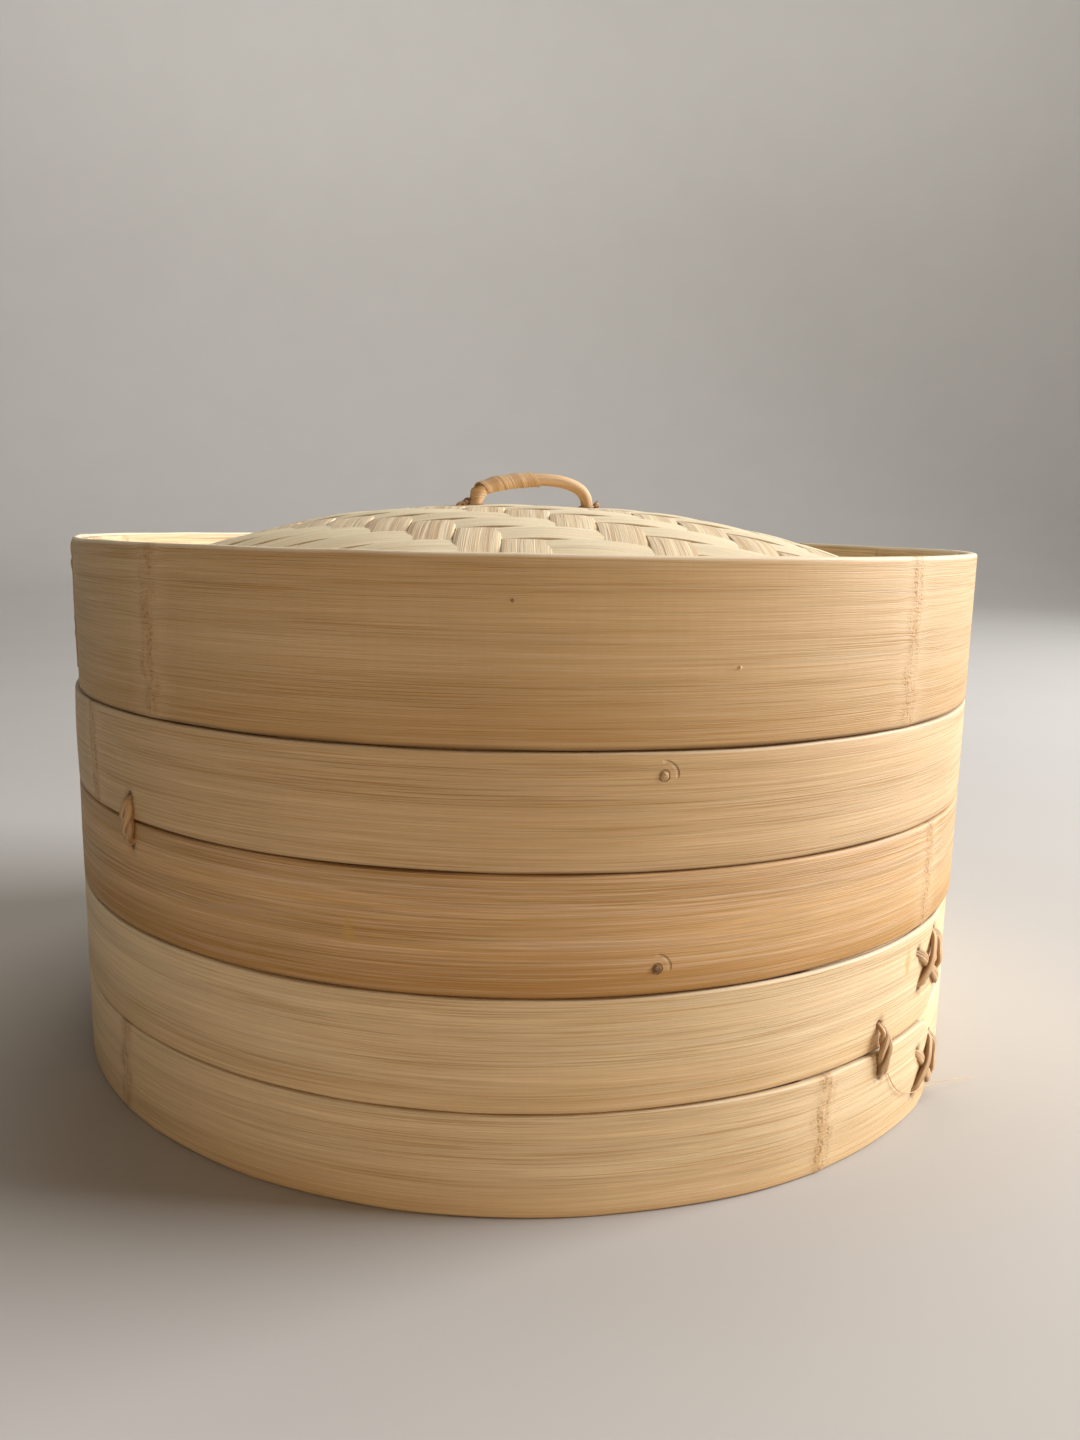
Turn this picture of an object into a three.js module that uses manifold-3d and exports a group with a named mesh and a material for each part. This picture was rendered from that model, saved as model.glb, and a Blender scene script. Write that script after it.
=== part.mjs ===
// Two-tier bamboo steamer basket with a woven, domed lid.
// Millimetres, +Z up. The origin is the centre of the circle that the basket stands on.
// Angles are degrees, anticlockwise from +X. Each hoop is a flat strip bent into a circle.

import * as THREE from 'three';
import { mergeVertices } from 'three/addons/utils/BufferGeometryUtils.js';
import Module from 'manifold-3d';

const wasm = await Module();
wasm.setup();

// Driving dimensions
const outerRadius = 127;
const bandThickness = 2.6;
const hoopThickness = 2.3;
const gap = 0.3;
const stepAngle = 7.5;
const lipHeight = 3.6;

// Tier
const ledgeBottom = 4.3;
const ledgeHeight = 4;
const slatThickness = 2.5;
const slatWidth = 15.5;
const slatPitch = 21;
const slatCount = 11;
const crossbarWidth = 12;
const crossbarOffset = 42;
const crossbarHeight = 3.5;
const crossbarTongue = 1.7;

// Where the strips overlap
const lapStart = -60;
const lapAngle = 30;
const hoopLapStart = 120;
const rampAngle = 20;
const buttAngle = 0.2;

// Fastenings
const strandRadius = 0.9;
const strandEndGap = 1;
const channelSides = 6;
const pinRadius = 1;
const pinSides = 8;
const pinProud = 0.2;

// Lid
const lidHeight = 38.4;
const clampBottom = 6.8;
const clampTop = 20.8;
const domeEdge = 24;
const domeCrown = 48.9;
const domeRadius = 120;
const domePower = 2.4;
const outerWeaveThickness = 1.5;
const innerWeaveThickness = 1.1;
const rimHoopTop = 37.9;
const domeSides = 24;
const domeRings = 5;
const lidPinAngles = [63, 42];
const lidPinHeights = [16.3, 29.3];

// Handle
const handleTurn = 18;
const coreRadius = 1.1;
const wrapRadius = 1.9;
const lashingRadius = 3;
const lashingHeight = 1.8;
const leftFoot = -15.6;
const rightFoot = 18.4;
const braceLength = 58;
const braceWidth = 9;
const braceThickness = 3.4;
const roundSides = 6;

// Worked out from the above
const bandInner = outerRadius - bandThickness;
const hoopOuter = bandInner - gap;
const hoopInner = hoopOuter - hoopThickness;
const ledgeTop = ledgeBottom + ledgeHeight;
const slatBottom = ledgeTop + gap;
const hoopBottom = slatBottom + slatThickness + gap;
const rimHoopBottom = domeEdge + gap;
const floorRadius = hoopOuter - gap;

const tiers = [
  {
    name: 'lower_tier', base: 0, turn: 0, lowerBand: 23.4, height: 48.9, lapBulges: [1.4, 0.5],
    lowerStitch: { topLeft: [-39, 16.4], topRight: [-34.5, 18.6], lowLeft: [-39.5, 5.3], lowRight: [-33.6, 3.9] },
    upperStitch: { topLeft: [-39.8, 42.8], topRight: [-34.6, 45.6], lowLeft: [-39, 33], lowRight: [-31.5, 29.5] },
    tieSpan: 12.4, pinBelowTop: 4.9, tongue: { angle: 7.5, drop: 9, rise: 5 },
  },
  {
    name: 'upper_tier', base: 49.2, turn: 93, lowerBand: 26.1, height: 51.2, lapBulges: [0.5, 0.5],
    lowerStitch: { topLeft: [-39.5, 23.4], topRight: [-33, 23.6], lowLeft: [-39, 14.6], lowRight: [-33.5, 14.4] },
    upperStitch: { topLeft: [-39.4, 44.6], topRight: [-33.2, 45], lowLeft: [-39.2, 34], lowRight: [-32.8, 33.6] },
    tieSpan: 11.4, pinBelowTop: 4.9, tongue: { angle: 7.5, drop: 7, rise: 5 },
  },
];
const tieAngles = [-48, 132];
const pinAngle = -170;
const lowPinHeight = 5.6;

const lid = {
  base: 100.7, turn: -133, lapBulge: 0.4,
  upperStitch: { topLeft: [-39, 36], topRight: [-34, 36.2], lowLeft: [-39.4, 29.6], lowRight: [-33.4, 29.2] },
  lowerStitch: { topLeft: [-39, 16.6], topRight: [-34.2, 16.8], lowLeft: [-39.2, 10.2], lowRight: [-33.8, 10] },
};

const material = (color, roughness) => new THREE.MeshStandardMaterial({ color, roughness, metalness: 0 });
const looks = {
  band: material(0xd9bb85, 0.62),
  hoop: material(0xe0c797, 0.66),
  slat: material(0xe2cb9c, 0.7),
  weave: material(0xddc594, 0.68),
  rattan: material(0x98693d, 0.75),
  cane: material(0xc8975a, 0.6),
  pin: material(0x7d5733, 0.8),
};

// Solids

function solidFrom(geometry) {
  geometry.deleteAttribute('normal');
  geometry.deleteAttribute('uv');
  const merged = mergeVertices(geometry, 1e-4);
  const corners = merged.index.array;
  const kept = [];
  for (let i = 0; i < corners.length; i += 3) {
    const [a, b, c] = [corners[i], corners[i + 1], corners[i + 2]];
    if (a !== b && b !== c && c !== a) kept.push(a, b, c);
  }
  const vertProperties = new Float32Array(merged.attributes.position.array);
  const triVerts = new Uint32Array(kept);
  return new wasm.Manifold(new wasm.Mesh({ numProp: 3, vertProperties, triVerts }));
}

function geometryFrom(solid) {
  const mesh = solid.getMesh();
  const geometry = new THREE.BufferGeometry();
  geometry.setAttribute('position', new THREE.BufferAttribute(mesh.vertProperties, 3));
  geometry.setIndex(new THREE.BufferAttribute(mesh.triVerts, 1));
  geometry.computeVertexNormals();
  return geometry;
}

function meshOf(name, solid, look) {
  const mesh = new THREE.Mesh(geometryFrom(solid), look);
  mesh.name = name;
  return mesh;
}

const cutBy = (solid, cutters) => cutters.reduce((left, cutter) => left.subtract(cutter), solid);

function onWall(angle, radius, height) {
  const turn = THREE.MathUtils.degToRad(angle);
  return new THREE.Vector3(radius * Math.cos(turn), radius * Math.sin(turn), height);
}

// A straight rod between two points.
function rod(from, to, radius, sides) {
  const along = to.clone().sub(from);
  const geometry = new THREE.CylinderGeometry(radius, radius, along.length(), sides);
  const place = new THREE.Matrix4().compose(
    from.clone().add(to).multiplyScalar(0.5),
    new THREE.Quaternion().setFromUnitVectors(new THREE.Vector3(0, 1, 0), along.normalize()),
    new THREE.Vector3(1, 1, 1),
  );
  return solidFrom(geometry.applyMatrix4(place));
}

function block(width, depth, height, x, y, bottom) {
  const geometry = new THREE.BoxGeometry(width, depth, height);
  return solidFrom(geometry.translate(x, y, bottom + height / 2));
}

// Bent strips

// A strip bent round Z: radii(angle) is its inner and outer face, levels(angle) its two edges.
function bentStrip(start, sweep, radii, levels) {
  const steps = Math.round(sweep / stepAngle);
  const geometry = new THREE.BoxGeometry(1, 1, 1, steps, 1, 1);
  const position = geometry.attributes.position;
  for (let i = 0; i < position.count; i++) {
    const angle = start + sweep * (position.getX(i) + 0.5);
    const [inner, outer] = radii(angle);
    const [low, high] = levels(angle);
    const radius = THREE.MathUtils.lerp(inner, outer, position.getZ(i) + 0.5);
    const height = THREE.MathUtils.lerp(low, high, position.getY(i) + 0.5);
    const point = onWall(angle, radius, height);
    position.setXYZ(i, point.x, point.y, point.z);
  }
  return solidFrom(geometry);
}

// The faces of a strip whose first and last lapAngle degrees lie on each other, pared thinner there.
function lappedRadii(start, full, first, last) {
  const firstEnd = start + lapAngle;
  const lastStart = start + 360;
  return (angle) => {
    const pared = angle < start + 180 ? first : last;
    const share = angle < start + 180
      ? THREE.MathUtils.smoothstep(angle, firstEnd, firstEnd + rampAngle)
      : 1 - THREE.MathUtils.smoothstep(angle, lastStart - rampAngle, lastStart);
    return [0, 1].map((face) => THREE.MathUtils.lerp(pared[face], full[face], share));
  };
}

// An outer band. Its last end lies outside its first end and stands proud by the bulge.
function outerBand(bottom, top, bulge, tongue) {
  const split = (bandInner + outerRadius + bulge) / 2;
  const radii = lappedRadii(
    lapStart,
    [bandInner, outerRadius],
    [bandInner, split - gap / 2],
    [split + gap / 2, outerRadius + bulge],
  );
  const sweep = 360 + lapAngle;
  const tongueStart = lapStart + sweep - tongue.angle;
  const levels = (angle) => {
    const reach = THREE.MathUtils.clamp((angle - tongueStart) / tongue.angle, 0, 1);
    return [bottom + tongue.rise * reach, top - tongue.drop * reach];
  };
  return bentStrip(lapStart, sweep, radii, levels);
}

// An inner hoop whose ends are pared to half thickness, so that it stays a plain circle.
function innerHoop(bottom, top) {
  const split = (hoopInner + hoopOuter) / 2;
  const radii = lappedRadii(
    hoopLapStart,
    [hoopInner, hoopOuter],
    [split + gap / 2, hoopOuter],
    [hoopInner, split - gap / 2],
  );
  return bentStrip(hoopLapStart, 360 + lapAngle, radii, () => [bottom, top]);
}

// A hoop whose ends meet end to end.
function buttedHoop(bottom, top) {
  return bentStrip(hoopLapStart, 360 - buttAngle, () => [hoopInner, hoopOuter], () => [bottom, top]);
}

// Fastenings: each gives its own solid and the channels it needs through the strips

const outsideReach = (bulge) => outerRadius + bulge + 2 * gap + strandRadius;
const insideReach = hoopInner - gap - strandRadius;

// The four corners of a strand's square section at each of its points, mitred at the bends.
function mitredSections(points, radius) {
  const directions = points.slice(1).map((point, i) => point.clone().sub(points[i]).normalize());
  const side = new THREE.Vector3().crossVectors(directions[0], points[0]).normalize();
  const rise = new THREE.Vector3().crossVectors(directions[0], side);
  let corners = [[-1, -1], [-1, 1], [1, -1], [1, 1]].map(([across, up]) => (
    points[0].clone().addScaledVector(side, (across * radius) / Math.SQRT2)
      .addScaledVector(rise, (up * radius) / Math.SQRT2)
  ));
  const sections = [corners];
  directions.forEach((direction, i) => {
    const end = points[i + 1];
    const mitre = direction.clone().add(directions[i + 1] ?? direction);
    corners = corners.map((corner) => {
      const reach = end.clone().sub(corner).dot(mitre) / direction.dot(mitre);
      return corner.clone().addScaledVector(direction, reach);
    });
    sections.push(corners);
  });
  return sections;
}

// A strand of split cane that follows a row of points.
function strandAlong(points) {
  const sections = mitredSections(points, strandRadius);
  const steps = points.length - 1;
  const geometry = new THREE.BoxGeometry(1, 1, 1, 1, 1, steps);
  const position = geometry.attributes.position;
  for (let i = 0; i < position.count; i++) {
    const station = Math.round((position.getZ(i) + 0.5) * steps);
    const corner = 2 * Number(position.getX(i) > 0) + Number(position.getY(i) > 0);
    const point = sections[station][corner];
    position.setXYZ(i, point.x, point.y, point.z);
  }
  return solidFrom(geometry);
}

function channelThrough([angle, height], radius) {
  const from = onWall(angle, hoopInner - 4 * gap, height);
  const to = onWall(angle, outerRadius + 8 * gap, height);
  const apothemShare = Math.cos(Math.PI / channelSides);
  return rod(from, to, (radius + gap) / apothemShare, channelSides);
}

// A loop of cane over the seam between two bands, closed behind the inner hoop.
function bandTie(angle, seam, span, bulge) {
  const [low, high] = [seam - span / 2, seam + span / 2];
  const outside = outsideReach(bulge);
  const loop = [
    onWall(angle, insideReach, seam - strandEndGap / 2),
    onWall(angle, insideReach, low),
    onWall(angle, outside, low),
    onWall(angle, outside, high),
    onWall(angle, insideReach, high),
    onWall(angle, insideReach, seam + strandEndGap / 2),
  ];
  const channels = [low, high].map((height) => channelThrough([angle, height], strandRadius));
  return { solid: strandAlong(loop), channels };
}

// One strand that crosses over itself on a lap, with its ends drawn behind the wall.
function crossStitch({ topLeft, topRight, lowLeft, lowRight }, bulge) {
  const outside = outsideReach(bulge);
  const out = ([angle, height]) => onWall(angle, outside, height);
  const back = ([angle, height]) => onWall(angle, insideReach, height);
  const crossing = out(lowLeft).lerp(out(topRight), 0.5);
  const lifted = crossing.clone().addScaledVector(crossing.clone().setZ(0).normalize(), 2 * strandRadius + gap);
  const route = [
    back(topLeft), out(topLeft), out(lowRight), back(lowRight), back(lowLeft),
    out(lowLeft), lifted, out(topRight), back(topRight), back(topRight).lerp(back(topLeft), 0.5),
  ];
  const holes = [topLeft, topRight, lowLeft, lowRight];
  return { solid: strandAlong(route), channels: holes.map((hole) => channelThrough(hole, strandRadius)) };
}

// A bamboo nail through a band and the hoop behind it.
function wallPin(angle, height) {
  const from = onWall(angle, hoopInner + gap, height);
  const to = onWall(angle, outerRadius + pinProud, height);
  return {
    solid: rod(from, to, pinRadius, pinSides),
    channels: [channelThrough([angle, height], pinRadius)],
  };
}

// Tier

// A floor slat along X, with ends that follow the wall.
function slat(offset) {
  const edge = (y) => Math.sqrt(floorRadius ** 2 - y ** 2);
  const outline = new THREE.Shape();
  const points = [-0.5, -0.25, 0, 0.25, 0.5].map((share) => offset + share * slatWidth);
  outline.moveTo(edge(points[0]), points[0]);
  points.slice(1).forEach((y) => outline.lineTo(edge(y), y));
  points.reverse().forEach((y) => outline.lineTo(-edge(y), y));
  const geometry = new THREE.ExtrudeGeometry(outline, { depth: slatThickness, bevelEnabled: false });
  return solidFrom(geometry.translate(0, 0, slatBottom));
}

// A bar along Y under the slats. Its thin end tongues rest in notches in the ledge hoop.
function crossbar(x, margin = 0) {
  const reach = (radius) => 2 * Math.sqrt(radius ** 2 - (Math.abs(x) + crossbarWidth / 2) ** 2);
  const width = crossbarWidth + 2 * margin;
  const body = block(
    width, reach(hoopInner - gap) + 2 * margin, crossbarHeight + 2 * margin, x, 0, ledgeTop - crossbarHeight - margin,
  );
  const tongue = block(
    width, reach(floorRadius) + 2 * margin, crossbarTongue + 2 * margin, x, 0, ledgeTop - crossbarTongue - margin,
  );
  return body.add(tongue);
}

function buildTier(tier) {
  const group = new THREE.Group();
  group.position.z = tier.base;
  group.rotation.z = THREE.MathUtils.degToRad(tier.turn);
  const add = (name, solid, look) => group.add(meshOf(`${tier.name}_${name}`, solid, look));

  const [lowerBulge, upperBulge] = tier.lapBulges;
  const tieBulges = [lowerBulge, 0];
  const seam = tier.lowerBand + gap / 2;
  const fastenings = {
    lap_stitch_lower: crossStitch(tier.lowerStitch, lowerBulge),
    lap_stitch_upper: crossStitch(tier.upperStitch, upperBulge),
  };
  tieAngles.forEach((angle, i) => {
    fastenings[`band_tie_${i + 1}`] = bandTie(angle, seam, tier.tieSpan, tieBulges[i]);
  });
  const pins = {
    pin_1: wallPin(pinAngle, tier.height - tier.pinBelowTop),
    pin_2: wallPin(pinAngle, lowPinHeight),
  };
  const channels = Object.values({ ...fastenings, ...pins }).flatMap((fastening) => fastening.channels);

  const lowerBand = outerBand(0, tier.lowerBand, lowerBulge, tier.tongue);
  const upperTongue = { angle: tier.tongue.angle, drop: 0, rise: 2 };
  const upperBand = outerBand(tier.lowerBand + gap, tier.height, upperBulge, upperTongue);
  add('lower_band', cutBy(lowerBand, channels), looks.band);
  add('upper_band', cutBy(upperBand, channels), looks.band);
  add('inner_hoop', cutBy(innerHoop(hoopBottom, tier.height + lipHeight), channels), looks.hoop);

  const barPlaces = [-crossbarOffset, crossbarOffset];
  const notches = barPlaces.map((x) => crossbar(x, gap));
  add('ledge_hoop', cutBy(buttedHoop(ledgeBottom, ledgeTop), [...channels, ...notches]), looks.hoop);
  barPlaces.forEach((x, i) => add(`crossbar_${i + 1}`, crossbar(x), looks.slat));
  for (let i = 0; i < slatCount; i++) {
    const offset = (i - (slatCount - 1) / 2) * slatPitch;
    add(`slat_${String(i + 1).padStart(2, '0')}`, slat(offset), looks.slat);
  }
  Object.entries(fastenings).forEach(([name, { solid }]) => add(name, solid, looks.rattan));
  Object.entries(pins).forEach(([name, { solid }]) => add(name, solid, looks.pin));
  return group;
}

// Lid

const domeHeight = (radius) => {
  const share = Math.min(radius / domeRadius, 1);
  return domeEdge + (domeCrown - domeEdge) * (1 - share ** domePower);
};

// One layer of the woven dome, from depth to depth + thickness below its upper face.
function domeLayer(depth, thickness) {
  const radii = [];
  for (let i = 0; i <= domeRings; i++) radii.push((domeRadius * i) / domeRings);
  radii.push(floorRadius);
  const at = (below) => radii.map((radius) => new THREE.Vector2(radius, domeHeight(radius) - below));
  const profile = [...at(depth + thickness), ...at(depth).reverse()];
  const geometry = new THREE.LatheGeometry(profile, domeSides);
  return solidFrom(geometry.rotateX(Math.PI / 2));
}

// The cane core's route, from one clinched end under the brace over the arch to the other.
const coreRoute = new THREE.CatmullRomCurve3([
  [-23, 39.6], [-19, 39.8], [-16.6, 42], [-16.1, 46.5], [-14.8, 51.4], [-9.5, 55.4], [1.6, 56.7],
  [12.4, 55.4], [17.6, 51.5], [18.9, 46.5], [19.1, 42], [21.4, 39.8], [25.4, 39.6],
].map(([x, z]) => new THREE.Vector3(x, 0, z)));
const wrapFrom = 0.265;
const wrapTo = 0.742;
const coreSteps = 30;
const wrapSteps = 12;

function alongRoute(route, radius, steps, bore = 0) {
  const section = new THREE.Shape();
  section.absarc(0, 0, radius, 0, 2 * Math.PI);
  if (bore > 0) section.holes.push(new THREE.Path().absarc(0, 0, bore, 0, 2 * Math.PI));
  const geometry = new THREE.ExtrudeGeometry(section, { steps, extrudePath: route, curveSegments: roundSides / 2 });
  return solidFrom(geometry);
}

function handleWrap() {
  const points = [];
  for (let i = 0; i <= wrapSteps; i++) {
    points.push(coreRoute.getPointAt(THREE.MathUtils.lerp(wrapFrom, wrapTo, i / wrapSteps)));
  }
  return alongRoute(new THREE.CatmullRomCurve3(points), wrapRadius, wrapSteps, coreRadius + gap);
}

// A ring of lashing round a foot of the handle, with a short tail pointing outwards.
function lashing(x, side, coreChannel) {
  const bottom = domeHeight(Math.abs(x)) + gap;
  const foot = new THREE.Vector3(x, 0, bottom);
  const ring = rod(foot, foot.clone().setZ(bottom + lashingHeight), lashingRadius, roundSides);
  const tailStart = new THREE.Vector3(x + side * lashingRadius / 2, 0, bottom + lashingHeight / 2);
  const tailEnd = tailStart.clone().add(new THREE.Vector3(side * lashingRadius, 0, gap));
  return ring.add(rod(tailStart, tailEnd, lashingHeight / 3, roundSides)).subtract(coreChannel);
}

function buildHandle() {
  const channel = alongRoute(coreRoute, coreRadius + gap, coreSteps);
  const braceTop = domeHeight(braceLength / 2) - outerWeaveThickness - innerWeaveThickness - 2 * gap;
  const brace = block(braceLength, braceWidth, braceThickness, 0, 0, braceTop - braceThickness);
  return {
    channel,
    pieces: {
      handle_core: [alongRoute(coreRoute, coreRadius, coreSteps), looks.cane],
      handle_wrap: [handleWrap(), looks.cane],
      handle_lashing_left: [lashing(leftFoot, -1, channel), looks.rattan],
      handle_lashing_right: [lashing(rightFoot, 1, channel), looks.rattan],
      handle_brace: [brace.subtract(channel), looks.slat],
    },
  };
}

function buildLid() {
  const group = new THREE.Group();
  group.position.z = lid.base;
  const walls = new THREE.Group();
  walls.rotation.z = THREE.MathUtils.degToRad(lid.turn);
  const crown = new THREE.Group();
  crown.rotation.z = THREE.MathUtils.degToRad(handleTurn);
  group.add(walls, crown);

  const stitches = {
    lap_stitch_lower: crossStitch(lid.lowerStitch, lid.lapBulge),
    lap_stitch_upper: crossStitch(lid.upperStitch, lid.lapBulge),
  };
  const pins = {};
  lidPinAngles.forEach((angle, i) => {
    pins[`pin_${i + 1}`] = wallPin(angle, lidPinHeights[i]);
  });
  const channels = Object.values({ ...stitches, ...pins }).flatMap((fastening) => fastening.channels);

  const tongue = { angle: stepAngle, drop: 3, rise: 3 };
  walls.add(meshOf('lid_outer_hoop', cutBy(outerBand(0, lidHeight, lid.lapBulge, tongue), channels), looks.band));
  walls.add(meshOf('lid_rim_hoop', cutBy(innerHoop(rimHoopBottom, rimHoopTop), channels), looks.hoop));
  walls.add(meshOf('lid_clamp_hoop', cutBy(buttedHoop(clampBottom, clampTop), channels), looks.hoop));
  Object.entries(stitches).forEach(([name, { solid }]) => walls.add(meshOf(`lid_${name}`, solid, looks.rattan)));
  Object.entries(pins).forEach(([name, { solid }]) => walls.add(meshOf(`lid_${name}`, solid, looks.pin)));

  const handle = buildHandle();
  const outerWeave = domeLayer(0, outerWeaveThickness).subtract(handle.channel);
  const innerWeave = domeLayer(outerWeaveThickness + gap, innerWeaveThickness).subtract(handle.channel);
  crown.add(meshOf('lid_outer_weave', outerWeave, looks.weave));
  crown.add(meshOf('lid_inner_weave', innerWeave, looks.weave));
  Object.entries(handle.pieces).forEach(([name, [solid, look]]) => crown.add(meshOf(name, solid, look)));
  return group;
}

const steamer = new THREE.Group();
tiers.forEach((tier) => steamer.add(buildTier(tier)));
steamer.add(buildLid());

export default steamer;
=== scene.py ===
"""Looks of a two-tier bamboo steamer basket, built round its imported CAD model."""
import math

import bpy
import numpy as np
from mathutils import Matrix, Vector, noise


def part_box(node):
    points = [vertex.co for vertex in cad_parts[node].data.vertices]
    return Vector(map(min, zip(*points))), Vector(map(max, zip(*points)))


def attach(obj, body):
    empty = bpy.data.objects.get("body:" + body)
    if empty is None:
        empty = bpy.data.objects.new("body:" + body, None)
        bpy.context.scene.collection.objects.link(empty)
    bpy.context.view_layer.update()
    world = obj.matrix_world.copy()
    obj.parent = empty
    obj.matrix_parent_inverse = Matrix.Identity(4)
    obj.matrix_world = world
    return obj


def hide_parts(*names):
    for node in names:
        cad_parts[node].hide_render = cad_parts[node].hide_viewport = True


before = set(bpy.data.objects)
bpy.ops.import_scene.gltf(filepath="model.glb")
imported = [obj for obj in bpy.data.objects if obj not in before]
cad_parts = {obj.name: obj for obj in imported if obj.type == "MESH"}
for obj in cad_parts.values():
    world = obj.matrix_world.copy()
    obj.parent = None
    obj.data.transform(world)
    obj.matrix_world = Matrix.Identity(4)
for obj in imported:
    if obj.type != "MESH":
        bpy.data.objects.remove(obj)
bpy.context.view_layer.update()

MM = 0.001

# Walls, as the CAD strips are bent. Angles are degrees, anticlockwise from +X.
BAND_THICKNESS = 2.6 * MM
HOOP_THICKNESS = 2.3 * MM
GAP = 0.3 * MM
LAP_START = -60
LAP_ANGLE = 30
HOOP_LAP_START = 120
BUTTED_SWEEP = 359.6
RAMP_ANGLE = 20
TURN = {"lower_tier": 0, "upper_tier": 93, "lid": -133}
BASE = {
    "lower_tier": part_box("lower_tier_lower_band")[0].z,
    "upper_tier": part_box("upper_tier_lower_band")[0].z,
    "lid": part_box("lid_outer_hoop")[0].z,
}
OUTER_RADIUS = 127 * MM
BAND_INNER = OUTER_RADIUS - BAND_THICKNESS
HOOP_OUTER = BAND_INNER - GAP
HOOP_INNER = HOOP_OUTER - HOOP_THICKNESS
FLOOR_RADIUS = HOOP_OUTER - GAP

# Floor of a tier
SLAT_WIDTH = 15.5 * MM
SLAT_PITCH = 21 * MM
SLAT_COUNT = 11
CROSSBAR_WIDTH = 12 * MM
CROSSBAR_OFFSET = 42 * MM
CROSSBAR_TONGUE = 1.7 * MM
CROSSBAR_STEP = 0.1 * MM
CROSSBAR_SWAY = 0.3 * MM
SLAT_ROUND = 0.9 * MM
SLAT_SWAY = 0.35 * MM
SLAT_CROWN = 0.2 * MM
BAR_ROUND = 0.6 * MM

# Finish of the strips' meshes
STEP_ANGLE = 1.25
FINE_STEP = 0.3
FINE_REACH = 2.2
ROW = 1.3 * MM
EDGE_ROUND = 0.6 * MM
RIM_ROUND = 0.8 * MM
FEATHER_ANGLE = 6
FEATHER = 0.62
EDGE_WAVE = 0.22 * MM
EDGE_WAVE_ANGLE = 16
FACE_WAVE = 0.3 * MM
FACE_WAVE_ANGLE = 21
KNOT_RISE = 0.18 * MM
KNOT_WIDTH = 2.6 * MM
KNOT_WANDER = 1.6 * MM
HOLE_RADIUS = 1.5 * MM
HOLE_DEPTH = 0.7 * MM
STAIN_SQUASH = 0.45
BLOW_ANGLE = 0.95
BLOW_RISE = 2.0 * MM
FAR = 1.0


# Meshes

def coords(*columns):
    """Points from their coordinates, each an array or one value for all."""
    return np.stack(np.broadcast_arrays(*columns), -1)


def polar(angle, radius, height):
    turn = np.radians(angle)
    return coords(radius * np.cos(turn), radius * np.sin(turn), height)


def smoothstep(value, low, high):
    share = np.clip((value - low) / (high - low), 0, 1)
    return share * share * (3 - 2 * share)


def wave(place, seed):
    """A smooth value from about -1 to 1 that changes slowly along place and differs with seed."""
    return 1.6 * noise.noise(Vector((place, seed * 7.31, seed * 2.17)))


def add_attribute(mesh, name, values):
    values = np.ascontiguousarray(values, np.float32)
    vector = values.ndim > 1 and values.shape[-1] == 3
    layer = mesh.attributes.new(name, "FLOAT_VECTOR" if vector else "FLOAT", "POINT")
    layer.data.foreach_set("vector" if vector else "value", values.ravel())


# How far a strip's grain is from that of the strip with the seed before
GRAIN_STEP = (0.531, 0.0713, 0.0177)
# What a mesh stores for each point where its piece says nothing else
MARKS = {"knot": FAR, "edge": 0.5, "tone": 0.5, "hole": FAR, "nail": FAR, "blow": FAR, "stain": FAR}


def swept_mesh(name, sections, grain, seed, **marks):
    """A closed solid through a row of sections, stations x points x 3. Its material reads, for each
    point: grain, the place along, across and into the fibres; knot, hole, nail, blow and stain, the
    distance from the nearest bamboo node, stitch hole, nail, hammer blow and stain; edge, the share
    of the way across the strip; and tone, the strip's shade."""
    sections = np.array(sections)
    grain = np.array(grain) + np.array(GRAIN_STEP) * seed
    count, points = sections.shape[:2]
    index = np.arange(count * points).reshape(count, points)
    here, there = index[:-1], index[1:]
    quads = np.stack([here, there, np.roll(there, -1, 1), np.roll(here, -1, 1)], -1).reshape(-1, 4)
    faces = quads.tolist() + [index[0].tolist(), index[-1][::-1].tolist()]
    mesh = bpy.data.meshes.new(name)
    mesh.from_pydata(sections.reshape(-1, 3).tolist(), [], faces)
    mesh.polygons.foreach_set("use_smooth", [True] * (len(faces) - 2) + [False] * 2)
    add_attribute(mesh, "grain", grain.reshape(-1, 3))
    for label, value in {**MARKS, **marks}.items():
        add_attribute(mesh, label, np.broadcast_to(value, (count, points)).reshape(-1))
    return mesh


def new_object(name, data):
    item = bpy.data.objects.new(name, data)
    bpy.context.scene.collection.objects.link(item)
    return item


def joined(name, meshes):
    """One object of several meshes, with their attributes and materials."""
    objects = [new_object(name, mesh) for mesh in meshes]
    first = objects[0]
    if len(objects) > 1:
        with bpy.context.temp_override(
            active_object=first, object=first, selected_editable_objects=objects,
        ):
            bpy.ops.object.join()
    return first


def add_piece(node, meshes, material, body, label=""):
    """One piece of several meshes, which stands in for a node of the CAD model."""
    for mesh in meshes:
        mesh.materials.append(material)
    piece = joined(f"fine_{node}{label}", meshes)
    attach(piece, body)
    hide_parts(node)


def corner_points(centre, radius, first, arc):
    turns = np.radians(np.linspace(first, first + 90, arc + 1))
    return centre + radius * coords(np.cos(turns), np.sin(turns))


def rounded_section(width, height, radius, counts=(2, 2, 2, 2), arc=3):
    """A rectangle with round corners about its centre, anticlockwise from its lower right corner.
    counts says how many points there are on its right, top, left and bottom side."""
    radius = min(radius, 0.48 * width, 0.48 * height)
    x, y = width / 2 - radius, height / 2 - radius
    centres = np.array([(x, -y), (x, y), (-x, y), (-x, -y)])
    corners = [corner_points(centres[i], radius, 90 * i - 90, arc) for i in range(4)]
    points = []
    for i in range(4):
        start, end = corners[i][-1], corners[(i + 1) % 4][0]
        shares = np.linspace(0, 1, counts[i] + 2)[1:-1, None]
        points += [corners[i], start + (end - start) * shares]
    return np.vstack(points)


# Bent strips

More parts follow.
